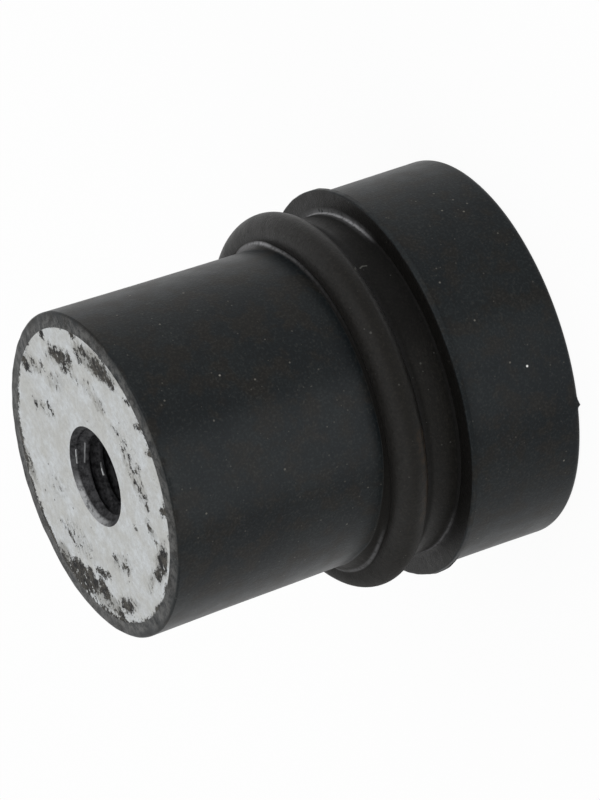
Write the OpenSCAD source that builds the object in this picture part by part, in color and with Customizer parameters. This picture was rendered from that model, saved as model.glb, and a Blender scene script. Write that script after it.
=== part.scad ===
// Rubber vibration damper with a threaded steel insert bonded into its slim end.
// The damper stands on its head: +Z runs along its axis, from the head up to the insert,
// and the origin is the centre of the head's end face. All sizes are in millimetres.

/* [Shank] */
// Diameter of the shank at the front rim, where the steel holds the rubber to size
shank_front_d = 21.5; // [21:0.1:23]
// Diameter of the shank at its neck, where the free rubber has shrunk
shank_neck_d = 20.9; // [19.6:0.1:21.6]
// Length of the shank, from the front face down to the bead
shank_len = 15.3; // [13:0.1:24]
// Rounding of the front rim's outer edge
front_edge_r = 0.15; // [0.05:0.05:0.5]
// Radius of the cove that flares the neck into the bead
neck_cove_r = 0.3; // [0.2:0.05:1]

/* [Bead] */
// Diameter over the crest of the round bead, which is pushed through the same bore as the head
bead_d = 24.9; // [22.4:0.1:26]
// Width of the round bead along the axis
bead_w = 2.4; // [1.8:0.1:3]

/* [Groove] */
// Depth of the groove's floor, between the bead and the head, below the bead's crest
groove_depth = 1.15; // [0.8:0.05:1.6]
// Width of the groove, from the head's shoulder to the bead's flank
groove_w = 2.5; // [1.8:0.1:4]
// Radius of the coves at the two sides of the groove
groove_cove_r = 0.3; // [0.15:0.05:0.8]
// How far a cove runs under the bead or shoulder beside it, which leaves a crisp crease
crease_depth = 0.08; // [0.02:0.01:0.12]

/* [Head] */
// How much more the head, which seats in a housing bore, measures across than the bead
head_over = 0.1; // [0:0.1:3]
// Length of the head, from its end face to its shoulder
head_len = 8.3; // [6:0.1:14]
// Height of the lip round the shoulder, above the head
lip_h = 0.35; // [0.1:0.05:0.5]
// Width of the lip's outer land
lip_land = 0.35; // [0.2:0.05:0.8]
// Length along the axis of the steep slope behind the lip
lip_slope = 0.15; // [0.05:0.05:1]
// Rounding of the lip's front corner
lip_edge_r = 0.1; // [0.05:0.05:0.15]
// Rounding of the end face's edge
back_edge_r = 0.4; // [0.1:0.05:0.8]

/* [Insert] */
// Width of the rubber rim round the insert's flange, which shows as the bright front face
rim_w = 1; // [0.5:0.1:2.5]
// Thickness of the flange
flange_t = 2.5; // [1.5:0.1:4]
// Diameter of the boss behind the flange
boss_d = 10; // [8.6:0.1:13]
// Length of the whole insert along the axis
insert_len = 10.5; // [9.6:0.1:12.5]
// Rounding of the insert's bonded edges and of the corner behind its flange
bond_edge_r = 0.5; // [0.2:0.05:0.7]

/* [Thread] */
// Core diameter of the tapped hole, 5 mm for an M6 thread
thread_core_d = 5; // [4.2:0.1:6.2]
// Depth of the full tapped hole, from the front face
thread_depth = 7.5; // [5:0.1:8]
// Diameter of the countersunk mouth at the front face
mouth_d = 6.6; // [6.4:0.1:7.6]
// Included angle of the countersunk mouth
mouth_angle = 120; // [90:1:140]
// Included angle of the drill's point at the bottom of the hole
drill_point_angle = 118; // [90:1:140]

/* [Hidden] */
$fn = 96;

rubber_colour = [0.11, 0.11, 0.115];
steel_colour = [0.74, 0.75, 0.75];

// Heights above the end face of the head
groove_top_z = head_len + groove_w;
bead_z = groove_top_z + bead_w / 2;
bead_top_z = groove_top_z + bead_w;
front_z = bead_top_z + shank_len;
flange_back_z = front_z - flange_t;
boss_end_z = front_z - insert_len;
thread_end_z = front_z - thread_depth;

// Radii
shank_front_r = shank_front_d / 2;
shank_neck_r = shank_neck_d / 2;
groove_r = bead_d / 2 - groove_depth;
bead_section_r = bead_w / 2;
bead_r = bead_d / 2 - bead_section_r;
head_r = (bead_d + head_over) / 2;
flange_r = shank_front_r - rim_w;
boss_r = boss_d / 2;
thread_core_r = thread_core_d / 2;
mouth_r = mouth_d / 2;
drill_point_len = thread_core_r / tan(drill_point_angle / 2);

// Height of the centre of a cove of radius cove_r that runs from a root of radius root_r
// into the bead, on the side (1 above, -1 below) of the bead
function bead_cove_z(root_r, cove_r, side) =
    let (reach = bead_section_r + cove_r - crease_depth)
    let (across = bead_r - root_r - cove_r)
    bead_z + side * sqrt(reach * reach - across * across);

neck_z = bead_cove_z(shank_neck_r, neck_cove_r, 1);

// Rubber between a root of radius root_r and the bead, hollowed by the cove. It starts well inside
// the root, and its points run anticlockwise on either side of the bead
module bead_cove(root_r, cove_r, side) {
    inner_r = min(root_r, bead_r) - bead_section_r;
    cove_z = bead_cove_z(root_r, cove_r, side);
    above = [[inner_r, bead_z], [bead_r, bead_z], [root_r + cove_r, cove_z], [inner_r, cove_z]];
    below = [[inner_r, cove_z], [root_r + cove_r, cove_z], [bead_r, bead_z], [inner_r, bead_z]];
    difference() {
        polygon(side > 0 ? above : below);
        translate([root_r + cove_r, cove_z]) circle(r = cove_r);
    }
}

// Rubber in the corner between the groove's floor and the head's shoulder, hollowed by the cove
module shoulder_cove() {
    cove_z = head_len + groove_cove_r - crease_depth;
    difference() {
        translate([groove_r, head_len]) square([groove_cove_r, cove_z - head_len]);
        translate([groove_r + groove_cove_r, cove_z]) circle(r = groove_cove_r);
    }
}

// What a rounding of radius edge_r takes off an outer corner at [corner_r, corner_z];
// the side is 1 where the corner points up and -1 where it points down
module edge_waste(corner_r, corner_z, edge_r, side) {
    centre = [corner_r - edge_r, corner_z - side * edge_r];
    difference() {
        translate(centre + [edge_r / 2, side * edge_r / 2]) square(edge_r, center = true);
        translate(centre) circle(r = edge_r);
    }
}

// Crisp lip round the head's shoulder, with a flat front and a steep back
module lip() {
    outer_r = head_r + lip_h;
    land_z = head_len - lip_land;
    polygon([[0, land_z - lip_slope], [head_r, land_z - lip_slope], [outer_r, land_z],
             [outer_r, head_len], [0, head_len]]);
}

// Half section of the rubber's outside, as radius and height
module body_outline() {
    difference() {
        union() {
            square([head_r, head_len]);
            lip();
            shoulder_cove();
            translate([0, head_len]) square([groove_r, groove_w + bead_section_r]);
            bead_cove(groove_r, groove_cove_r, -1);
            translate([bead_r, bead_z]) circle(r = bead_section_r);
            bead_cove(shank_neck_r, neck_cove_r, 1);
            polygon([[0, bead_z], [shank_neck_r, bead_z], [shank_neck_r, neck_z],
                     [shank_front_r, front_z], [0, front_z]]);
        }
        edge_waste(head_r, 0, back_edge_r, -1);
        edge_waste(head_r + lip_h, head_len, lip_edge_r, 1);
        edge_waste(shank_front_r, front_z, front_edge_r, 1);
    }
}

// Half section of the insert before it is drilled, which is also its pocket in the rubber
module insert_blank() {
    difference() {
        union() {
            translate([0, flange_back_z]) square([flange_r, flange_t]);
            translate([0, boss_end_z]) square([boss_r, insert_len]);
            corner = [boss_r, flange_back_z];
            difference() {
                translate(corner - [0, bond_edge_r]) square(bond_edge_r);
                translate(corner + [bond_edge_r, -bond_edge_r]) circle(r = bond_edge_r);
            }
        }
        edge_waste(flange_r, flange_back_z, bond_edge_r, -1);
        edge_waste(boss_r, boss_end_z, bond_edge_r, -1);
    }
}

// Half section of the blind tapped hole: countersunk mouth, core and drill point
module tapped_hole() {
    mouth_depth = (mouth_r - thread_core_r) / tan(mouth_angle / 2);
    polygon([[0, thread_end_z - drill_point_len], [thread_core_r, thread_end_z],
             [thread_core_r, front_z - mouth_depth], [mouth_r, front_z], [0, front_z]]);
}

// Moulded body: shank, round bead, groove, lip and head in one piece of rubber
module rubber_body() {
    color(rubber_colour)
        rotate_extrude()
            difference() {
                body_outline();
                insert_blank();
            }
}

// Turned flanged bush, flush with the front rim, with a blind tapped hole
module threaded_insert() {
    color(steel_colour)
        rotate_extrude()
            difference() {
                insert_blank();
                tapped_hole();
            }
}

rubber_body();
threaded_insert();
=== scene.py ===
import math

import bpy
import numpy as np
from mathutils import Matrix, Vector, noise


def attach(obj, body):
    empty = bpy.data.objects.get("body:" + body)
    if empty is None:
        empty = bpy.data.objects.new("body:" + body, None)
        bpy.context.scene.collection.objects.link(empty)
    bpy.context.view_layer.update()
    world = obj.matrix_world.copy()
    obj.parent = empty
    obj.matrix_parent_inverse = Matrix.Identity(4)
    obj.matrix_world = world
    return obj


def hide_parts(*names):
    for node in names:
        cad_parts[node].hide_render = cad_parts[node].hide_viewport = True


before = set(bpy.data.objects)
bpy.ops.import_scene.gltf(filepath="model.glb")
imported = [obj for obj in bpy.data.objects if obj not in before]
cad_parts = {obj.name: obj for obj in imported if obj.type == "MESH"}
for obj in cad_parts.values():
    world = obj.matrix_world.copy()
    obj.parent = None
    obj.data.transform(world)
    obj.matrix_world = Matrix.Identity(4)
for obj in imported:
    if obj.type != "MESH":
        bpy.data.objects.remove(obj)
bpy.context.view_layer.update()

MM = 0.001
AROUND = 360
NECK_COVE_ROWS = 12
FLOOR_COVE_ROWS = 10
BEAD_COVE_ROWS = 8
BEAD_ROWS = 28
SHANK_ROWS = 42
FACE_ROWS = 76
# Rows of the neck that look like the bead, and rows of the groove that can carry a painted highlight line
DULL_NECK_ROWS = 9
FLOOR_LINE_ROWS = 16

# Sizes of the part's source
HEAD_R = 12.5
HEAD_LEN = 8.3
BACK_EDGE_R = 0.4
LIP_OUTER_R = HEAD_R + 0.35
LIP_LAND_Z = HEAD_LEN - 0.35
LIP_SLOPE = 0.15
LIP_EDGE_R = 0.1
GROOVE_R = 11.3
GROOVE_W = 2.5
GROOVE_COVE_R = 0.3
CREASE_DEPTH = 0.08
BEAD_SECTION_R = 1.2
BEAD_R = 12.45 - BEAD_SECTION_R
BEAD_Z = HEAD_LEN + GROOVE_W + BEAD_SECTION_R
NECK_R = 10.45
NECK_COVE_R = 0.3
WIDE_NECK_COVE_R = 4.2 * NECK_COVE_R
FRONT_R = 10.75
FRONT_Z = 28.5
FRONT_EDGE_R = 0.15
FLANGE_R = 9.75
FLANGE_BACK_Z = 26.0
BOSS_R = 5.0
BOSS_END_Z = 18.0
BOND_EDGE_R = 0.5
MOUTH_R = 3.3
THREAD_CORE_R = 2.5
THREAD_ROOT_R = 3.0
THREAD_PITCH = 1.0
THREAD_END_Z = 21.0
DRILL_TIP_Z = 19.498

# In the photograph the hole sits a little off the middle of the face, towards a turn in degrees
HOLE_OFF = 0.33
HOLE_OFF_TURN = -108

# Camera, found by fitting the damper's outline to the photograph
CAMERA_LENS = 440.2
CAMERA_DISTANCE = 616.3
CAMERA_ELEVATION = 24.49
CAMERA_ROLL = -108.58
FRONT_CENTRE_RIGHT = -13.054
FRONT_CENTRE_UP = -4.770


# Profiles

def arc(centre, radius, start, end, steps):
    """Points of an arc in a half section, as (radius, height). Angles are in degrees."""
    turns = [math.radians(start + (end - start) * i / steps) for i in range(steps + 1)]
    return [(centre[0] + radius * math.cos(t), centre[1] + radius * math.sin(t)) for t in turns]


def line(start, end, step):
    """Points from start up to end, without end, about a step apart."""
    count = max(1, round(math.dist(start, end) / step))
    return [(start[0] + (end[0] - start[0]) * i / count, start[1] + (end[1] - start[1]) * i / count)
            for i in range(count)]


def crossing(centre_a, radius_a, centre_b, radius_b):
    """The crossing of two circles that lies nearest the axis, as an angle seen from each centre."""
    across, along = centre_b[0] - centre_a[0], centre_b[1] - centre_a[1]
    apart = math.hypot(across, along)
    reach = (apart ** 2 + radius_a ** 2 - radius_b ** 2) / (2 * apart)
    half = math.sqrt(radius_a ** 2 - reach ** 2)
    points = [(centre_a[0] + (reach * across - side * half * along) / apart,
               centre_a[1] + (reach * along + side * half * across) / apart) for side in (1, -1)]
    point = min(points)
    return [math.degrees(math.atan2(point[1] - c[1], point[0] - c[0])) % 360 for c in (centre_a, centre_b)]


def cove_centre(root_r, cove_r, side):
    """Centre of the cove that runs from a root into the bead, above (1) or below (-1) the bead."""
    reach = BEAD_SECTION_R + cove_r - CREASE_DEPTH
    across = BEAD_R - root_r - cove_r
    return root_r + cove_r, BEAD_Z + side * math.sqrt(reach ** 2 - across ** 2)


def rubber_profile(neck_cove_r):
    """Half section of the rubber, from the middle of its end face round to the bottom of its pocket, and
    the rows at which the shoulder, the groove's floor and the neck start."""
    bead = (BEAD_R, BEAD_Z)
    lip_start = (HEAD_R, LIP_LAND_Z - LIP_SLOPE)
    lip_corner = (LIP_OUTER_R - LIP_EDGE_R, HEAD_LEN - LIP_EDGE_R)
    shoulder_cove = (GROOVE_R + GROOVE_COVE_R, HEAD_LEN + GROOVE_COVE_R - CREASE_DEPTH)
    cove_turn = math.degrees(math.acos(1 - CREASE_DEPTH / GROOVE_COVE_R))
    groove_cove = cove_centre(GROOVE_R, GROOVE_COVE_R, -1)
    neck_cove = cove_centre(NECK_R, neck_cove_r, 1)
    groove_end, bead_start = crossing(groove_cove, GROOVE_COVE_R, bead, BEAD_SECTION_R)
    bead_end, neck_start = crossing(bead, BEAD_SECTION_R, neck_cove, neck_cove_r)

    points = line((0, 0), (HEAD_R - BACK_EDGE_R, 0), 0.8)
    points += arc((HEAD_R - BACK_EDGE_R, BACK_EDGE_R), BACK_EDGE_R, -90, 0, 8)
    points += line((HEAD_R, BACK_EDGE_R), lip_start, 0.3)[1:]
    points += line(lip_start, (LIP_OUTER_R, LIP_LAND_Z), 0.06)
    points += line((LIP_OUTER_R, LIP_LAND_Z), (LIP_OUTER_R, lip_corner[1]), 0.07)
    points += arc(lip_corner, LIP_EDGE_R, 0, 90, 5)
    shoulder_row = len(points) - 1
    points += line((lip_corner[0], HEAD_LEN), (shoulder_cove[0], HEAD_LEN), 0.15)[1:]
    floor_row = len(points)
    points += arc(shoulder_cove, GROOVE_COVE_R, 270 - cove_turn, 180, FLOOR_COVE_ROWS)
    points += line((GROOVE_R, shoulder_cove[1]), (GROOVE_R, groove_cove[1]), 0.25)[1:]
    points += arc(groove_cove, GROOVE_COVE_R, 180, groove_end, BEAD_COVE_ROWS)
    points += arc(bead, BEAD_SECTION_R, bead_start - 360, bead_end, BEAD_ROWS)[1:]
    neck_row = len(points)
    points += arc(neck_cove, neck_cove_r, neck_start, 180, NECK_COVE_ROWS)[1:]
    points += shank_side(neck_cove[1])
    points += arc((FRONT_R - FRONT_EDGE_R, FRONT_Z - FRONT_EDGE_R), FRONT_EDGE_R, 0, 90, 5)
    points += line((FRONT_R - FRONT_EDGE_R, FRONT_Z), (FLANGE_R, FRONT_Z), 0.1)[1:]
    return points + blank_profile() + [(0, BOSS_END_Z)], (shoulder_row, floor_row, neck_row)


def shank_side(start_z):
    """Points up the shank's side, always the same number of them, wherever the cove at its neck ends."""
    end_r, end_z = FRONT_R, FRONT_Z - FRONT_EDGE_R
    return [(NECK_R + (end_r - NECK_R) * i / SHANK_ROWS, start_z + (end_z - start_z) * i / SHANK_ROWS)
            for i in range(1, SHANK_ROWS)]


def blank_profile():
    """Half section of the insert's bonded side, from its front edge in to the end of its boss."""
    points = line((FLANGE_R, FRONT_Z), (FLANGE_R, FLANGE_BACK_Z + BOND_EDGE_R), 0.5)
    points += arc((FLANGE_R - BOND_EDGE_R, FLANGE_BACK_Z + BOND_EDGE_R), BOND_EDGE_R, 0, -90, 5)
    points += line((FLANGE_R - BOND_EDGE_R, FLANGE_BACK_Z), (BOSS_R + BOND_EDGE_R, FLANGE_BACK_Z), 1.0)[1:]
    points += arc((BOSS_R + BOND_EDGE_R, FLANGE_BACK_Z - BOND_EDGE_R), BOND_EDGE_R, 90, 180, 5)
    points += line((BOSS_R, FLANGE_BACK_Z - BOND_EDGE_R), (BOSS_R, BOSS_END_Z + BOND_EDGE_R), 1.0)[1:]
    points += arc((BOSS_R - BOND_EDGE_R, BOSS_END_Z + BOND_EDGE_R), BOND_EDGE_R, 0, -90, 5)
    return points


# Meshes

def ease(value, start, end):
    """0 below start, 1 above end, and smooth between them."""
    t = np.clip((np.asarray(value, float) - start) / (end - start), 0, 1)
    return t * t * (3 - 2 * t)


def rough(points, size, seed):
    """Smooth noise at each point, about -1 to 1, with features of a size in millimetres."""
    return np.array([noise.noise(Vector(p) / size + Vector((seed, 0, 0))) for p in points])


def lathe(name, radii, heights, material_of_row):
    """A closed mesh from rows of radii round the axis. The first and last rows are single points."""
    turns = np.radians(np.arange(AROUND) * 360 / AROUND)
    rings = np.stack([radii[1:-1] * np.cos(turns), radii[1:-1] * np.sin(turns), heights[1:-1]], -1)
    poles = [(0, 0, heights[0, 0]), (0, 0, heights[-1, 0])]
    points = np.concatenate([rings.reshape(-1, 3), poles]) * MM

    rows = len(rings)
    here = np.arange(AROUND)
    there = (here + 1) % AROUND
    faces = []
    for row in range(rows - 1):
        low, high = row * AROUND, (row + 1) * AROUND
        faces += np.stack([low + here, low + there, high + there, high + here], -1).tolist()
    first, last = rows * AROUND, rows * AROUND + 1
    faces += [(first, there[i], here[i]) for i in range(AROUND)]
    top = (rows - 1) * AROUND
    faces += [(last, top + here[i], top + there[i]) for i in range(AROUND)]

    mesh = bpy.data.meshes.new(name)
    mesh.from_pydata(points.tolist(), [], faces)
    wanted = np.repeat([material_of_row(row) for row in range(rows - 1)], AROUND)
    wanted = np.concatenate([wanted, np.full(AROUND, wanted[0]), np.full(AROUND, wanted[-1])])
    mesh.polygons.foreach_set("material_index", wanted.astype(np.int32))
    mesh.shade_smooth()
    mesh.set_sharp_from_angle(angle=math.radians(35))
    piece = bpy.data.objects.new(name, mesh)
    bpy.context.collection.objects.link(piece)
    return piece


def spread(profile):
    """A half section as rows of radii and heights round the axis."""
    section = np.array(profile)
    return [np.repeat(section[:, k:k + 1], AROUND, axis=1) for k in (0, 1)]


def on_surface(radii, heights):
    """Points of the rows, as a flat list, for noise."""
    turns = np.radians(np.arange(AROUND) * 360 / AROUND)
    return np.stack([radii * np.cos(turns), radii * np.sin(turns), heights], -1).reshape(-1, 3)


def bump_at(radii, heights, turn, height, size):
    """A soft bump of 0 to 1 on the outside of the rubber, round a turn in degrees and a height."""
    turns = np.arange(AROUND) * 360 / AROUND
    apart = np.radians((turns - turn + 180) % 360 - 180) * radii
    return np.exp(-(apart ** 2 + (heights - height) ** 2) / size ** 2)


def facing_at(turns, turn, start, end):
    """1 at the turns that face a turn in degrees, fading to 0 away from it."""
    return ease(np.cos(np.radians(turns - turn)), start, end)


def facing(turn, start, end):
    """1 on the side of the axis that faces a turn in degrees, fading to 0 away from it."""
    return facing_at(np.arange(AROUND) * 360 / AROUND, turn, start, end)


def fading(turn, reach):
    """1 at a turn in degrees, fading away from it over a reach in degrees."""
    turns = np.arange(AROUND) * 360 / AROUND
    return np.exp(-np.abs((turns - turn + 180) % 360 - 180) / reach)


def make_rubber():
    """The moulding, with the small unevenness and flash of a real one."""
    # The cove at the neck opens towards the -X side, and a little at the +X side
    tight, (shoulder_row, floor_row, neck_row) = rubber_profile(NECK_COVE_R)
    wide, _ = rubber_profile(WIDE_NECK_COVE_R)
    opened = 0.5 * (facing(180, 0.3, 1) + facing(180, 0.9, 1) + facing(0, 0.93, 1))
    radii, heights = [a + (b - a) * opened for a, b in zip(spread(tight), spread(wide))]
    points = on_surface(radii, heights)
    outside = (radii > FLANGE_R + 0.05) | (heights < 1)

    uneven = rough(points, 7.0, 3).reshape(radii.shape)
    ragged = rough(points, 0.9, 11).reshape(radii.shape)
    lip = ease(radii, HEAD_R + 0.05, LIP_OUTER_R - 0.05) * (heights < HEAD_LEN + 0.01)
    # Flash fills the step behind the lip on the -X side
    behind = facing(180, 0.9, 1) * (radii > HEAD_R - 0.01) * (heights < LIP_LAND_Z)
    behind = behind * ease(heights, LIP_LAND_Z - 1.3, LIP_LAND_Z)
    rim = ease(radii, FLANGE_R + 0.02, FLANGE_R + 0.2) * ease(heights, FRONT_Z - 0.2, FRONT_Z - 0.1)
    # A nib of flash stands at the edge of the head
    nib = bump_at(radii, heights, -116, 0.12, 0.2) * (heights < 1.2)
    away = 0.025 * uneven + 0.04 * lip * ragged + 0.12 * behind + 0.34 * nib
    radii = np.where(outside & (radii > 8), radii + away, radii)
    # The rim slopes away a little from the steel, least on the +Y side
    slope = 0.035 * (ragged - 0.4) - 0.09 * (1 - 0.5 * facing(90, 0.3, 1)) * (radii - FLANGE_R)
    heights = np.where(outside, heights + rim * slope, heights)

    def material_of_row(row):
        """The head, then the dull shoulder, groove and bead, then the shank."""
        return 0 if row + 1 < shoulder_row else 1 if row + 1 < neck_row + DULL_NECK_ROWS else 2

    piece = lathe("rubber_moulding", radii, heights, material_of_row)
    store(piece, "dust_and_highlight", dust_and_highlight(radii, heights, floor_row, neck_row)[1:-1].ravel())
    # Painted shade darkens the creases, which are also rougher: at the shoulder, along the groove, under
    # the bead and at the neck
    bead_row = neck_row - BEAD_ROWS
    crease_shade = np.zeros_like(heights)
    crease_shade[floor_row + 1:floor_row + FLOOR_COVE_ROWS] = 0.75
    crease_shade[floor_row + FLOOR_COVE_ROWS:bead_row] = 0.55 * facing(-60, 0.85, 0.97)
    crease_shade[bead_row - BEAD_COVE_ROWS - 2:bead_row] = 0.6
    crease_shade[neck_row - 1:neck_row + DULL_NECK_ROWS] = (1 - opened) * (1 - facing(0, 0.9, 1))
    store(piece, "crease_shade", crease_shade[1:-1].ravel())
    return piece


def dust_and_highlight(radii, heights, floor_row, neck_row):
    """How much pale colour the rubber carries: a painted highlight line in two creases, painted sheen and
    light in places, and a faint haze and dust elsewhere.
    """
    pale = np.zeros_like(heights)
    # Painted bounce light on the -X side, which brightens the highlight lines there
    under = 0.3 * facing(185, 0.85, 1)
    # Head, with a faint pale haze, a painted sheen band round a turn of -99 degrees
    # and a lip edge made paler by dust and a painted highlight, and shoulder
    pale[:floor_row] = (0.016 + 0.025 * facing(-99, 0.94, 1)) * (heights[:floor_row] < LIP_LAND_Z)
    on_lip = ease(radii[:floor_row], HEAD_R + 0.1, LIP_OUTER_R - 0.1)
    pale[:floor_row] += (0.006 + 0.02 * facing(-68, 0.8, 1)) * on_lip
    # Groove, with a painted highlight line along its crease at the shoulder; bead, with painted light
    # towards a turn of -15 degrees and a flank towards the neck made paler by dust and painted light
    floor = slice(floor_row, floor_row + FLOOR_LINE_ROWS)
    floor_highlight_line = np.exp(-((heights[floor] - HEAD_LEN - 0.1) / 0.1) ** 2)
    pale[floor] = floor_highlight_line * (facing(-16, 0.88, 0.98) + under)
    bead = slice(floor_row + FLOOR_LINE_ROWS, neck_row - 1)
    pale[bead] = 0.02 * facing(-15, 0.7, 1) + 0.02 * ease(heights[bead], BEAD_Z + 0.2, BEAD_Z + 1)
    bead_row = neck_row - BEAD_ROWS
    # Painted light lifts the shade in the crease between the groove and the bead
    pale[bead_row - BEAD_COVE_ROWS - 1:bead_row + 2] += 0.018
    # The bead's edge by the groove is paler, with dust and a painted highlight strongest at a turn of -55
    # degrees
    pale[bead_row + 2:bead_row + 8] += 0.02 + 0.04 * facing(-55, 0.8, 1)
    # Neck, by the length of the way up its surface: a painted highlight line along its crease, with painted
    # sheen near it (strongest at a turn of 3 degrees) and in a band round a turn of -102 degrees
    steps = np.hypot(np.diff(radii[neck_row - 1:], axis=0), np.diff(heights[neck_row - 1:], axis=0))
    above = np.cumsum(steps, axis=0)
    pale[neck_row:] = np.exp(-((above - 0.16) / 0.11) ** 2) * (fading(-10, 16) + under)
    neck_sheen = (0.03 * np.exp(-above / 0.8) + 0.042 * facing(-102, 0.93, 1)) * ease(above, 0.4, 1)
    neck_sheen = neck_sheen + 0.35 * facing(3, 0.97, 1) * np.exp(-(above / 0.9) ** 2)
    pale[neck_row:] = np.maximum(pale[neck_row:], neck_sheen * (heights[neck_row:] < FRONT_Z - 0.2))
    return pale


def thread_radius(turns, heights):
    """Radius of the tapped wall: a right-hand M6 thread that starts below the mouth and runs out at the
    bottom."""
    phase = (heights / THREAD_PITCH - turns / (2 * math.pi)) % 1
    crest = 1 - np.clip((np.abs(phase - 0.5) - 1 / 8) / (7 / 16 - 1 / 8), 0, 1)
    run_in = ease(heights, FRONT_Z - 0.25, FRONT_Z - 0.9)
    run_out = ease(heights, THREAD_END_Z + 0.3, THREAD_END_Z + 1.6)
    wall = THREAD_ROOT_R - (THREAD_ROOT_R - THREAD_CORE_R) * crest * run_in
    return THREAD_CORE_R + (wall - THREAD_CORE_R) * run_out


def make_insert():
    """The steel bush: drill point, tapped wall, countersunk mouth, front face and bonded side."""
    turns = np.radians(np.arange(AROUND) * 360 / AROUND)
    off = HOLE_OFF * np.cos(turns - math.radians(HOLE_OFF_TURN))
    cone_r, cone_z = spread(line((0, DRILL_TIP_Z), (THREAD_CORE_R, THREAD_END_Z), 0.4))
    cone_r = cone_r * (1 + off / THREAD_CORE_R)
    wall = np.concatenate([np.arange(THREAD_END_Z, FRONT_Z - 1.2, THREAD_PITCH / 12),
                           np.linspace(FRONT_Z - 1.2, FRONT_Z, 25)])
    wall_z = np.repeat(wall[:, None], AROUND, axis=1)
    wall_r = off + np.maximum(thread_radius(turns, wall_z), MOUTH_R - (FRONT_Z - wall_z))
    share = np.linspace(0, 1, FACE_ROWS + 1)[1:-1, None]
    face_r = wall_r[-1] + (FLANGE_R - wall_r[-1]) * share
    side_r, side_z = spread(blank_profile() + [(0, BOSS_END_Z)])
    radii = np.concatenate([cone_r, wall_r, face_r, side_r])
    heights = np.concatenate([cone_z, wall_z, np.full_like(face_r, FRONT_Z), side_z])

    bore_rows = len(cone_r) + len(wall) - 2
    piece = lathe("steel_insert", radii, heights, lambda row: int(row < bore_rows))
    paint_face(piece, radii, heights)
    return piece


# Rubber flash left on the steel face. Each mark is x, y, half its length, half its width and its turn
# in degrees, seen from the front with x upwards and y to the left in the photograph.
FILM = [
    (7.8, -0.9, 1.0, 0.55, 70), (8.3, 0.0, 0.4, 0.3, 0), (7.5, -2.3, 0.35, 0.25, 0),
    (7.0, -1.1, 0.5, 0.3, 80), (6.1, -6.3, 1.15, 0.6, 52), (7.4, -3.8, 0.35, 0.25, 0),
    (7.5, -4.8, 0.4, 0.25, 60), (5.2, -7.2, 0.5, 0.3, 40), (8.1, 4.5, 0.65, 0.45, 20),
    (8.2, 3.2, 0.25, 0.2, 0), (7.7, 2.1, 0.25, 0.16, 0), (8.6, 5.3, 0.6, 0.4, 60),
    (5.5, 5.0, 0.22, 0.16, 0), (5.1, 4.0, 0.16, 0.12, 0), (5.1, 3.2, 0.2, 0.13, 0),
    (4.6, 2.9, 0.16, 0.12, 0), (-5.8, 6.8, 1.5, 1.05, 50), (-6.3, 5.3, 0.9, 0.6, 20),
    (-7.0, 7.3, 1.0, 0.7, 40), (-7.0, 4.0, 0.85, 0.6, 10), (-6.0, 3.5, 0.85, 0.3, 70),
    (-8.5, 1.4, 0.85, 0.45, 75), (-8.9, 2.6, 0.5, 0.3, 80), (-5.4, 0.8, 0.22, 0.14, 0),
    (-6.0, -0.2, 0.25, 0.15, 30), (-6.5, -0.5, 0.25, 0.15, 0), (-6.5, -6.1, 1.1, 0.55, 130),
    (-7.2, -4.8, 0.5, 0.35, 120), (-4.2, -5.9, 0.3, 0.22, 0), (-3.9, -3.8, 0.15, 0.12, 0),
    (3.7, -8.8, 0.4, 0.2, 70), (1.9, -9.2, 0.45, 0.2, 90), (0.2, -9.7, 0.5, 0.25, 90),
    (-3.5, -9.1, 0.8, 0.4, 100), (8.9, -3.9, 0.4, 0.25, 20), (9.6, 0.6, 0.5, 0.25, 0),
    (1.7, -6.1, 0.4, 0.06, 40), (-3.2, 6.4, 0.5, 0.09, 30), (0.9, -5.9, 0.2, 0.12, 60),
    (0.3, -6.4, 0.22, 0.14, 30), (-0.2, -6.1, 0.18, 0.12, 0), (-0.7, -6.6, 0.22, 0.13, 50),
    (-1.2, -6.0, 0.15, 0.12, 0), (-1.7, -6.3, 0.2, 0.12, 40), (-2.4, -6.8, 0.25, 0.14, 60),
    (-2.9, -6.5, 0.2, 0.15, 0), (-0.4, -7.3, 0.15, 0.1, 0),
]
# Thinner grey smears, which also have a strength
SMEAR = [
    (4.1, -4.5, 0.9, 0.6, 30, 0.45), (5.3, -3.7, 1.1, 0.6, 60, 0.3), (6.4, 0.9, 1.4, 0.7, 80, 0.32),
    (6.7, -2.0, 1.1, 0.5, 20, 0.4), (6.6, -5.7, 2.9, 0.9, 56, 0.62), (7.9, -0.6, 1.9, 0.7, 85, 0.36),
    (8.0, 3.6, 1.7, 0.6, 60, 0.4), (5.0, 3.9, 1.6, 0.5, 60, 0.26), (2.0, 9.0, 1.3, 0.5, 0, 0.75),
    (0.1, 5.9, 1.6, 0.9, 70, 0.2), (-3.6, 5.2, 1.9, 1.0, 40, 0.3), (-4.0, 8.2, 0.9, 0.6, 40, 0.75),
    (-7.6, 4.4, 1.6, 0.9, 60, 0.5), (-8.2, 3.3, 1.0, 0.6, 70, 0.7), (-8.4, 0.9, 1.6, 0.6, 80, 0.4),
    (-5.9, 0.0, 1.5, 0.7, 80, 0.34), (-7.4, -3.6, 1.4, 0.4, 120, 0.45), (-6.4, -6.0, 1.9, 0.8, 130, 0.45),
    (-4.6, -6.0, 1.0, 0.5, 20, 0.35), (-1.0, -6.2, 2.4, 0.9, 10, 0.34), (1.7, -6.0, 1.0, 0.5, 40, 0.28),
]


def mark_depth(x, y, mark):
    """How far inside a mark each point lies, in millimetres; negative outside it."""
    turn = math.radians(mark[4])
    along = (x - mark[0]) * math.cos(turn) + (y - mark[1]) * math.sin(turn)
    across = (y - mark[1]) * math.cos(turn) - (x - mark[0]) * math.sin(turn)
    return (1 - np.hypot(along / mark[2], across / mark[3])) * min(mark[2], mark[3])


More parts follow.
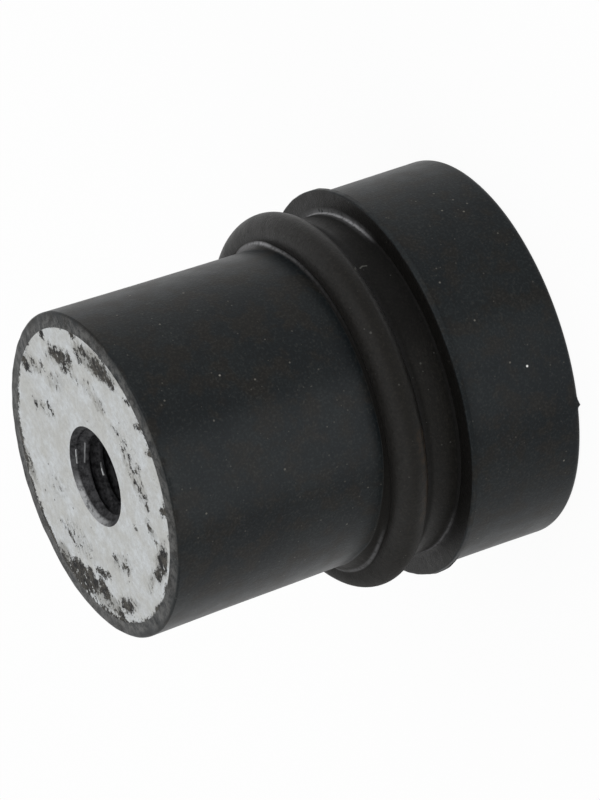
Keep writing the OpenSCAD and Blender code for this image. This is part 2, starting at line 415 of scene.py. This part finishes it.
def paint_face(piece, radii, heights):
    """Stores on each point how far it lies inside a film of rubber, how smeared and how rubbed it is."""
    points = on_surface(radii[1:-1], heights[1:-1])
    x, y, z = points.T
    turns = np.degrees(np.arctan2(y, x))
    edge = rough(np.stack([x, y, 0 * x], -1), 1.1, 5)
    # The film reaches further in from the rim on the +Y side and along the -X side
    reach = 0.3 * facing_at(turns, 100, 0.2, 1) + 0.15 * facing_at(turns, -175, 0.7, 1) - 0.08
    film = np.hypot(x, y) - FLANGE_R + reach + 0.3 * edge
    for mark in FILM:
        film = np.maximum(film, mark_depth(x, y, mark))
    smear = np.zeros(len(x))
    for mark in SMEAR:
        smear = np.maximum(smear, mark[5] * ease(mark_depth(x, y, mark), -0.25, 0.3))
    front = z > FRONT_Z - 0.01
    store(piece, "film", np.where(front, film, -2))
    store(piece, "smear", np.where(front, smear, 0))
    # The countersunk mouth is rubbed bright on one side
    rubbed_and_glints = 0.5 * facing_at(turns, 132, 0.6, 0.95) + 0.1 * facing_at(turns, 85, 0.8, 1)
    store(piece, "rubbed_and_glints", rubbed_and_glints * ease(FRONT_Z - z, 0.35, 0.2))


def store(piece, name, values):
    """Keeps one number per point on the mesh; the two end points get the first value."""
    values = np.concatenate([values, [values[0], values[0]]]).astype(np.float32)
    piece.data.attributes.new(name, "FLOAT", "POINT").data.foreach_set("value", values)


# Materials

class Shader:
    """A material whose nodes are added by short calls."""

    def __init__(self, name):
        self.material = bpy.data.materials.new(name)
        self.material.use_nodes = True
        self.tree = self.material.node_tree
        self.surface = self.tree.nodes["Principled BSDF"]
        place = self.add("ShaderNodeTexCoord").outputs["Object"]
        self.place = self.vector("SCALE", place, scale=1 / MM)

    def add(self, kind, **settings):
        node = self.tree.nodes.new(kind)
        for key, value in settings.items():
            setattr(node, key, value)
        return node

    def feed(self, socket, value):
        if isinstance(value, bpy.types.NodeSocket):
            self.tree.links.new(value, socket)
        else:
            socket.default_value = value

    def set(self, name, value):
        self.feed(self.surface.inputs[name], value)

    def vector(self, operation, a, b=None, scale=None):
        node = self.add("ShaderNodeVectorMath", operation=operation)
        self.feed(node.inputs[0], a)
        if b is not None:
            self.feed(node.inputs[1], b)
        if scale is not None:
            node.inputs["Scale"].default_value = scale
        return node.outputs["Value" if operation in ("DOT_PRODUCT", "DISTANCE") else "Vector"]

    def math(self, operation, a, b=0.0, c=0.0):
        node = self.add("ShaderNodeMath", operation=operation)
        for socket, value in zip(node.inputs, (a, b, c)):
            self.feed(socket, value)
        return node.outputs[0]

    def noise(self, size, detail=3.0, roughness=0.55, place=None):
        """Noise of 0 to 1 with features of a size in millimetres."""
        node = self.add("ShaderNodeTexNoise")
        self.feed(node.inputs["Vector"], place or self.place)
        node.inputs["Scale"].default_value = 1 / size
        node.inputs["Detail"].default_value = detail
        node.inputs["Roughness"].default_value = roughness
        return node.outputs[0]

    def step(self, value, start, end, low=0.0, high=1.0):
        node = self.add("ShaderNodeMapRange", interpolation_type="SMOOTHSTEP")
        for socket, number in zip(node.inputs, (value, start, end, low, high)):
            self.feed(socket, number)
        return node.outputs[0]

    def mix(self, amount, a, b):
        node = self.add("ShaderNodeMix", data_type="RGBA")
        self.feed(node.inputs[0], amount)
        self.feed(node.inputs[6], a if isinstance(a, bpy.types.NodeSocket) else (*a, 1))
        self.feed(node.inputs[7], b if isinstance(b, bpy.types.NodeSocket) else (*b, 1))
        return node.outputs[2]

    def attribute(self, name):
        return self.add("ShaderNodeAttribute", attribute_name=name).outputs["Fac"]

    def bump(self, height, depth, normal=None):
        """A bump of a depth in millimetres, on top of another one."""
        node = self.add("ShaderNodeBump")
        node.inputs["Distance"].default_value = depth * MM
        self.feed(node.inputs["Height"], height)
        if normal is not None:
            self.feed(node.inputs["Normal"], normal)
        return node.outputs[0]

    def stretched(self, turn, times):
        """The place, stretched so many times along a turn in degrees about the axis."""
        node = self.add("ShaderNodeMapping", vector_type="TEXTURE")
        self.feed(node.inputs["Vector"], self.place)
        node.inputs["Rotation"].default_value = (0, 0, math.radians(turn))
        node.inputs["Scale"].default_value = (times, 1, 1)
        return node.outputs[0]

    def near(self, start, end, size):
        """A soft mark of a size in millimetres along the line from start to end."""
        span = Vector(end) - Vector(start)
        from_start = self.vector("SUBTRACT", self.place, start)
        along = self.vector("DOT_PRODUCT", from_start, tuple(span / max(span.length_squared, 1e-9)))
        along = self.math("MINIMUM", self.math("MAXIMUM", along, 0.0), 1.0)
        foot = self.add("ShaderNodeVectorMath", operation="SCALE")
        foot.inputs[0].default_value = span
        self.feed(foot.inputs["Scale"], along)
        return self.step(self.vector("DISTANCE", from_start, foot.outputs["Vector"]), size, 0.4 * size)

    def specks(self, cell, size, share):
        """Small spots, one in a share of the cells, with soft edges. Sizes are in millimetres."""
        node = self.add("ShaderNodeTexVoronoi")
        self.feed(node.inputs["Vector"], self.place)
        node.inputs["Scale"].default_value = 1 / cell
        parts = self.add("ShaderNodeSeparateColor")
        self.feed(parts.inputs[0], node.outputs["Color"])
        chosen = self.math("LESS_THAN", parts.outputs[0], share)
        reach = self.math("MULTIPLY", parts.outputs[1], size / cell)
        near = self.step(self.math("SUBTRACT", node.outputs["Distance"], reach), 0.03, 0.0)
        return self.math("MULTIPLY", chosen, near)


# The most visible grains of dust on the rubber, as height, turn in degrees and strength
DUST = [
    (22.5, -71.3, 1.0), (20.4, -76.5, 0.5), (24.1, -44.3, 0.5), (26.2, -114.7, 0.5), (16.0, -139.5, 0.4),
    (24.1, -85.4, 0.4), (26.7, -73.7, 0.4), (1.3, -133.5, 0.7), (6.8, -68.6, 0.6), (5.7, -82.6, 0.6),
    (2.5, -48.0, 0.6), (3.7, -44.9, 0.6), (4.3, -97.4, 0.5), (1.9, -45.3, 0.45), (2.5, -41.9, 0.4),
    (3.2, -36.4, 0.4),
]


def at(radius, height, turn):
    """A place on the rubber, from its radius, height and turn in degrees."""
    return radius * math.cos(math.radians(turn)), radius * math.sin(math.radians(turn)), height


def on_side(height, turn):
    """A place on the side of the head or the shank, from its height and turn in degrees."""
    up_shank = (height - BEAD_Z - BEAD_SECTION_R) / (FRONT_Z - BEAD_Z - BEAD_SECTION_R)
    radius = HEAD_R if height < HEAD_LEN else NECK_R + (FRONT_R - NECK_R) * up_shank
    return at(radius, height, turn)


def rubber_material(name, shine):
    """Black satin rubber with bloom, fine pits and dust."""
    s = Shader(name)
    s.set("Specular IOR Level", shine)
    mottle = s.noise(5.0, 5, 0.6)
    bloom = s.noise(1.6, 4, 0.6)
    grain = s.noise(0.16, 3, 0.6)
    parts = s.add("ShaderNodeSeparateXYZ")
    s.feed(parts.inputs[0], s.place)
    on_rim = s.step(parts.outputs[2], FRONT_Z - 0.12, FRONT_Z - 0.04)
    colour = s.mix(s.step(mottle, 0.35, 0.65), (0.0036, 0.0064, 0.0082), (0.0092, 0.0124, 0.0136))
    colour = s.mix(s.step(bloom, 0.45, 0.62, 0, 0.9), colour, (0.0118, 0.0106, 0.0086))
    colour = s.mix(s.step(grain, 0.42, 0.58, 0.5, 0), colour, (0.0015, 0.0018, 0.0020))
    colour = s.mix(s.step(grain, 0.54, 0.72, 0, 0.7), colour, (0.024, 0.024, 0.022))
    patchy = s.noise(0.55, 5, 0.75)
    worn_rim = s.math("MULTIPLY", on_rim, s.step(patchy, 0.4, 0.62))
    colour = s.mix(worn_rim, colour, (0.080, 0.080, 0.077))
    # Pale dust, painted highlight lines and painted sheen
    colour = s.mix(s.attribute("dust_and_highlight"), colour, (0.28, 0.30, 0.315))
    fine_dust = s.math("MULTIPLY", s.specks(0.45, 0.06, 0.4), 0.5)
    dust = s.math("MULTIPLY", s.math("MAXIMUM", s.specks(0.9, 0.07, 0.2), fine_dust), 0.36)
    for height, turn, strength in DUST:
        spot = on_side(height, turn)
        dust = s.math("MAXIMUM", dust, s.math("MULTIPLY", s.near(spot, spot, 0.09), strength))
    colour = s.mix(dust, colour, (0.21, 0.20, 0.175))
    # One bright chip on the head
    chip = on_side(3.2, -100)
    s.set("Base Color", s.mix(s.near(chip, chip, 0.1), colour, (0.85, 0.85, 0.82)))
    s.set("Roughness", s.step(bloom, 0.2, 0.8, 0.37, 0.46))
    rim_bump = s.bump(s.math("MULTIPLY", on_rim, patchy), 0.05)
    s.set("Normal", s.bump(grain, 0.012, s.bump(mottle, 0.05, rim_bump)))
    return s.material


def dull_material():
    """The same rubber on the shoulder, in the groove and on the bead: duller, and stained brown."""
    s = Shader("dull_rubber")
    s.set("Specular IOR Level", 0.15)
    parts = s.add("ShaderNodeSeparateXYZ")
    s.feed(parts.inputs[0], s.place)
    height = parts.outputs[2]
    stain = s.noise(1.4, 4, 0.6)
    on_bead = s.step(height, BEAD_Z - 1.2, BEAD_Z - 0.6)
    colour = s.mix(on_bead, (0.0070, 0.0065, 0.0058), (0.0066, 0.0056, 0.0042))
    # Paler, browner patches on the -X side, above the shoulder
    paler_minus_x_side = s.math("MULTIPLY", s.step(parts.outputs[0], 5, -2), s.step(stain, 0.25, 0.6, 0.2, 0.7))
    paler_minus_x_side = s.math("MULTIPLY", paler_minus_x_side, s.step(height, HEAD_LEN, HEAD_LEN + 0.4))
    colour = s.mix(paler_minus_x_side, colour, (0.0090, 0.0080, 0.0062))
    grain = s.noise(0.18, 4, 0.7)
    colour = s.mix(s.step(grain, 0.42, 0.58, 0.5, 0), colour, (0.0016, 0.0015, 0.0013))
    colour = s.mix(s.step(grain, 0.54, 0.72, 0, 0.6), colour, (0.019, 0.0175, 0.015))
    # Painted shade in the creases and along the groove beside the bead, which is also rougher
    crease_shade = s.attribute("crease_shade")
    colour = s.mix(s.math("MULTIPLY", crease_shade, 0.5), colour, (0.0, 0.0, 0.0))
    brown = s.near(at(12.4, 11.3, -110), at(12.4, 11.3, -138), 0.7)
    brown = s.math("MULTIPLY", brown, s.step(s.noise(0.5, 4, 0.7), 0.4, 0.6))
    colour = s.mix(brown, colour, (0.020, 0.013, 0.007))
    colour = s.mix(s.math("MULTIPLY", s.specks(0.5, 0.06, 0.3), 0.8), colour, (0.0, 0.0, 0.0))
    patchy = s.step(s.noise(0.3, 4, 0.7), 0.36, 0.54, 0.45, 1)
    # Pale dust, painted highlight lines and painted sheen, in patches
    colour = s.mix(s.math("MULTIPLY", s.attribute("dust_and_highlight"), patchy), colour, (0.34, 0.34, 0.35))
    dust = s.math("MAXIMUM", s.specks(0.7, 0.07, 0.25), s.specks(0.4, 0.05, 0.25))
    dust = s.math("MULTIPLY", dust, 0.36)
    # A few pits in the creases, and a thread of lint that lies across the groove
    for pit in (at(11.52, 8.3, -6.2), at(11.44, 8.3, -8.2), at(11.56, 13.16, -2.4), at(11.4, 13.19, 1.1)):
        colour = s.mix(s.near(pit, pit, 0.16), colour, (0.0, 0.0, 0.0))
    lint = s.near(at(12.24, 11.32, -54.9), at(11.9, 10.9, -52.5), 0.07)
    lint = s.math("MAXIMUM", lint, s.near(at(11.3, 10.42, -51.6), at(11.3, 10.2, -51.1), 0.07))
    lint = s.math("MAXIMUM", lint, s.near(at(11.3, 10.2, -51.1), at(11.3, 9.93, -51.5), 0.06))
    lint = s.math("MULTIPLY", lint, 0.6)
    s.set("Base Color", s.mix(s.math("MAXIMUM", dust, lint), colour, (0.13, 0.13, 0.12)))
    rough_end = s.math("MULTIPLY", on_bead, s.step(parts.outputs[0], -8, -12, 0, 0.3))
    satin = s.math("ADD", rough_end, s.step(stain, 0.2, 0.8, 0.4, 0.48))
    s.set("Roughness", s.math("MULTIPLY_ADD", crease_shade, 0.5, satin))
    s.set("Normal", s.bump(grain, 0.025, s.bump(s.noise(0.7, 3, 0.6), 0.03)))
    return s.material


def steel_material():
    """Matt steel face with ragged black films of rubber left on it, grey smears, specks and fine marks."""
    s = Shader("bonded_steel")
    film, smear = s.attribute("film"), s.attribute("smear")
    ragged = s.math("SUBTRACT", s.noise(0.45, 6, 0.85), 0.5)
    covered = s.step(s.math("MULTIPLY_ADD", ragged, 2.0, film), -0.04, 0.05)
    bare = s.step(s.noise(0.28, 3, 0.6), 0.62, 0.68)
    covered = s.math("MULTIPLY", covered, s.math("SUBTRACT", 1.0, bare))

    tone = s.noise(2.2, 5, 0.7)
    grain = s.noise(0.14, 4, 0.75)
    fine = s.noise(0.4, 5, 0.8)
    brushed = s.noise(0.1, 3, 0.6, s.stretched(35, 14))
    steel = s.mix(s.step(tone, 0.38, 0.62), (0.520, 0.527, 0.512), (0.600, 0.625, 0.640))
    steel = s.mix(s.step(fine, 0.42, 0.58, 0.35, 0), steel, (0.40, 0.40, 0.39))
    steel = s.mix(s.step(brushed, 0.4, 0.7, 0, 0.25), steel, (0.41, 0.41, 0.40))
    steel = s.mix(s.step(grain, 0.54, 0.78, 0, 0.5), steel, (0.29, 0.285, 0.27))

    streaks = s.noise(0.55, 6, 0.8, s.vector("MULTIPLY", s.place, (1.0, 2.0, 1.0)))
    smeared = s.step(s.math("MULTIPLY_ADD", streaks, 2.0, smear), 1.05, 1.75, 0, 0.65)
    colour = s.mix(smeared, steel, (0.19, 0.185, 0.165))
    pits = s.math("MULTIPLY_ADD", smear, 0.12, s.noise(0.42, 4, 0.7))
    pitted = s.math("MULTIPLY", s.step(pits, 0.62, 0.64, 0, 0.9), s.step(smear, 0.08, 0.3))
    pitted = s.math("MAXIMUM", pitted, s.math("MULTIPLY", s.specks(0.8, 0.08, 0.3), 0.7))
    colour = s.mix(pitted, colour, (0.050, 0.048, 0.042))

    rubber = s.mix(s.step(s.noise(0.6, 5, 0.7), 0.38, 0.62), (0.010, 0.010, 0.011), (0.072, 0.067, 0.057))
    s.set("Base Color", s.mix(covered, colour, rubber))
    s.set("Metallic", s.math("SUBTRACT", 1.0, covered))
    s.set("Roughness", s.step(grain, 0.2, 0.8, 0.5, 0.62))
    s.set("Specular IOR Level", 0.08)
    s.set("Normal", s.bump(covered, 0.06, s.bump(ragged, 0.06, s.bump(grain, 0.012))))
    return s.material


# Painted glints: bright metal lines on the edges of the mouth and of the thread's crests, where highlights
# fall.
# Each has a start and an end, as radius, height and turn in degrees, and its strength.
PAINTED_GLINTS = [
    ((2.70, 28.18, 46), (2.68, 28.18, 56), 1.0), ((2.68, 28.18, 56), (2.68, 28.19, 66), 0.6),
    ((2.44, 27.77, 30), (2.33, 27.78, 47), 0.3), ((2.33, 27.78, 47), (2.34, 27.83, 65), 0.25),
    ((2.17, 26.80, 74), (2.18, 26.82, 84), 0.4), ((2.18, 26.82, 84), (2.20, 26.83, 94), 1.0),
]


def thread_material():
    """Dark oiled steel of the tapped wall, bright where wear has bared it, with painted glints along the
    edges of the mouth and crests.
    """
    s = Shader("oiled_thread")
    tone = s.noise(0.35, 5, 0.7)
    dark = s.mix(s.step(tone, 0.35, 0.65), (0.012, 0.012, 0.013), (0.055, 0.055, 0.058))
    rubbed_and_glints = s.math("MULTIPLY", s.attribute("rubbed_and_glints"), s.step(s.noise(0.3, 4, 0.7), 0.36, 0.54, 0.35, 1))
    # Painted glints: bright metal lines where highlights fall, added to the bared side of the mouth
    for start, end, strength in PAINTED_GLINTS:
        painted_glint = s.math("MULTIPLY", s.near(at(*start), at(*end), 0.075), strength)
        rubbed_and_glints = s.math("MAXIMUM", rubbed_and_glints, painted_glint)
    s.set("Base Color", s.mix(rubbed_and_glints, dark, (0.60, 0.61, 0.62)))
    s.set("Metallic", rubbed_and_glints)
    s.set("Specular IOR Level", 0.05)
    s.set("Roughness", s.step(tone, 0.2, 0.8, 0.4, 0.55))
    s.set("Normal", s.bump(s.noise(0.12), 0.006))
    return s.material


# Stage

def backdrop_light(tree, shader, plain):
    """Shows white to the camera, reflections and glass, and the plain shader to every other ray."""
    path = tree.nodes.new("ShaderNodeLightPath")
    seen = None
    for ray in ("Is Camera Ray", "Is Glossy Ray", "Is Transmission Ray"):
        if seen is None:
            seen = path.outputs[ray]
            continue
        both = tree.nodes.new("ShaderNodeMath")
        both.operation = "MAXIMUM"
        tree.links.new(seen, both.inputs[0])
        tree.links.new(path.outputs[ray], both.inputs[1])
        seen = both.outputs[0]
    pick = tree.nodes.new("ShaderNodeMixShader")
    tree.links.new(seen, pick.inputs[0])
    tree.links.new(plain, pick.inputs[1])
    tree.links.new(shader, pick.inputs[2])
    return pick.outputs[0]


def make_world():
    """An even white surround, as in a light tent."""
    world = bpy.data.worlds.new("light_tent")
    world.use_nodes = True
    tree = world.node_tree
    plain = tree.nodes["Background"]
    plain.inputs["Color"].default_value = (1, 1, 1, 1)
    plain.inputs["Strength"].default_value = 0.75
    white = tree.nodes.new("ShaderNodeBackground")
    white.inputs["Color"].default_value = (1, 1, 1, 1)
    white.inputs["Strength"].default_value = 1.0
    out = tree.nodes["World Output"]
    tree.links.new(backdrop_light(tree, white.outputs[0], plain.outputs[0]), out.inputs["Surface"])
    bpy.context.scene.world = world


def make_floor():
    """A white sweep under the head that keeps a faint shadow."""
    mesh = bpy.data.meshes.new("floor")
    side = 3.0
    corners = [(-side, -side, 0), (side, -side, 0), (side, side, 0), (-side, side, 0)]
    mesh.from_pydata(corners, [], [(0, 1, 2, 3)])
    floor = bpy.data.objects.new("floor", mesh)
    bpy.context.collection.objects.link(floor)
    material = bpy.data.materials.new("white_floor")
    material.use_nodes = True
    tree = material.node_tree
    surface = tree.nodes["Principled BSDF"]
    surface.inputs["Base Color"].default_value = (0.92, 0.92, 0.92, 1)
    surface.inputs["Roughness"].default_value = 0.9
    surface.inputs["Specular IOR Level"].default_value = 0.0
    glow = tree.nodes.new("ShaderNodeEmission")
    glow.inputs["Color"].default_value = (1, 1, 1, 1)
    shadowed = tree.nodes.new("ShaderNodeMixShader")
    shadowed.inputs[0].default_value = 0.94
    tree.links.new(surface.outputs[0], shadowed.inputs[1])
    tree.links.new(glow.outputs[0], shadowed.inputs[2])
    out = tree.nodes["Material Output"]
    tree.links.new(backdrop_light(tree, shadowed.outputs[0], surface.outputs[0]), out.inputs["Surface"])
    mesh.materials.append(material)


def make_lamp(name, place, size, power):
    """A soft square lamp that looks at the middle of the damper."""
    data = bpy.data.lights.new(name, "AREA")
    data.size = size
    data.energy = power
    lamp = bpy.data.objects.new(name, data)
    target = Vector((0, 0, 14 * MM))
    lamp.location = place
    lamp.rotation_euler = (target - lamp.location).to_track_quat("-Z", "Y").to_euler()
    bpy.context.collection.objects.link(lamp)


def make_camera():
    """A long lens that sees the damper as the photograph does, lying across the picture."""
    elevation, roll = math.radians(CAMERA_ELEVATION), math.radians(CAMERA_ROLL)
    level = Vector((1, 0, 0))
    rise = Vector((0, math.sin(elevation), math.cos(elevation)))
    right = level * math.cos(roll) + rise * math.sin(roll)
    up = rise * math.cos(roll) - level * math.sin(roll)
    back = right.cross(up)
    front_centre = Vector((0, 0, FRONT_Z))
    place = front_centre - right * FRONT_CENTRE_RIGHT - up * FRONT_CENTRE_UP + back * CAMERA_DISTANCE
    data = bpy.data.cameras.new("camera")
    data.lens = CAMERA_LENS
    data.sensor_width = 36
    data.clip_start = 0.05
    camera = bpy.data.objects.new("camera", data)
    camera.matrix_world = Matrix.Translation(place * MM) @ Matrix((right, up, back)).transposed().to_4x4()
    bpy.context.collection.objects.link(camera)
    bpy.context.scene.camera = camera


def dress(piece, node, slot, *materials):
    """Lets a piece stand for its CAD node, with its finish."""
    for material in materials:
        piece.data.materials.append(material)
    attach(piece, "root")
    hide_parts(node)


dress(make_rubber(), "rubber_body", "rubber",
      rubber_material("head_rubber", 0.11), dull_material(), rubber_material("shank_rubber", 0.17))
dress(make_insert(), "threaded_insert", "steel", steel_material(), thread_material())
make_world()
make_floor()
make_lamp("key", (0.45, -0.55, 0.55), 0.6, 1.2)
make_lamp("fill", (-0.5, -0.5, 0.4), 0.6, 0.8)
make_camera()
bpy.context.scene.view_settings.view_transform = "Standard"
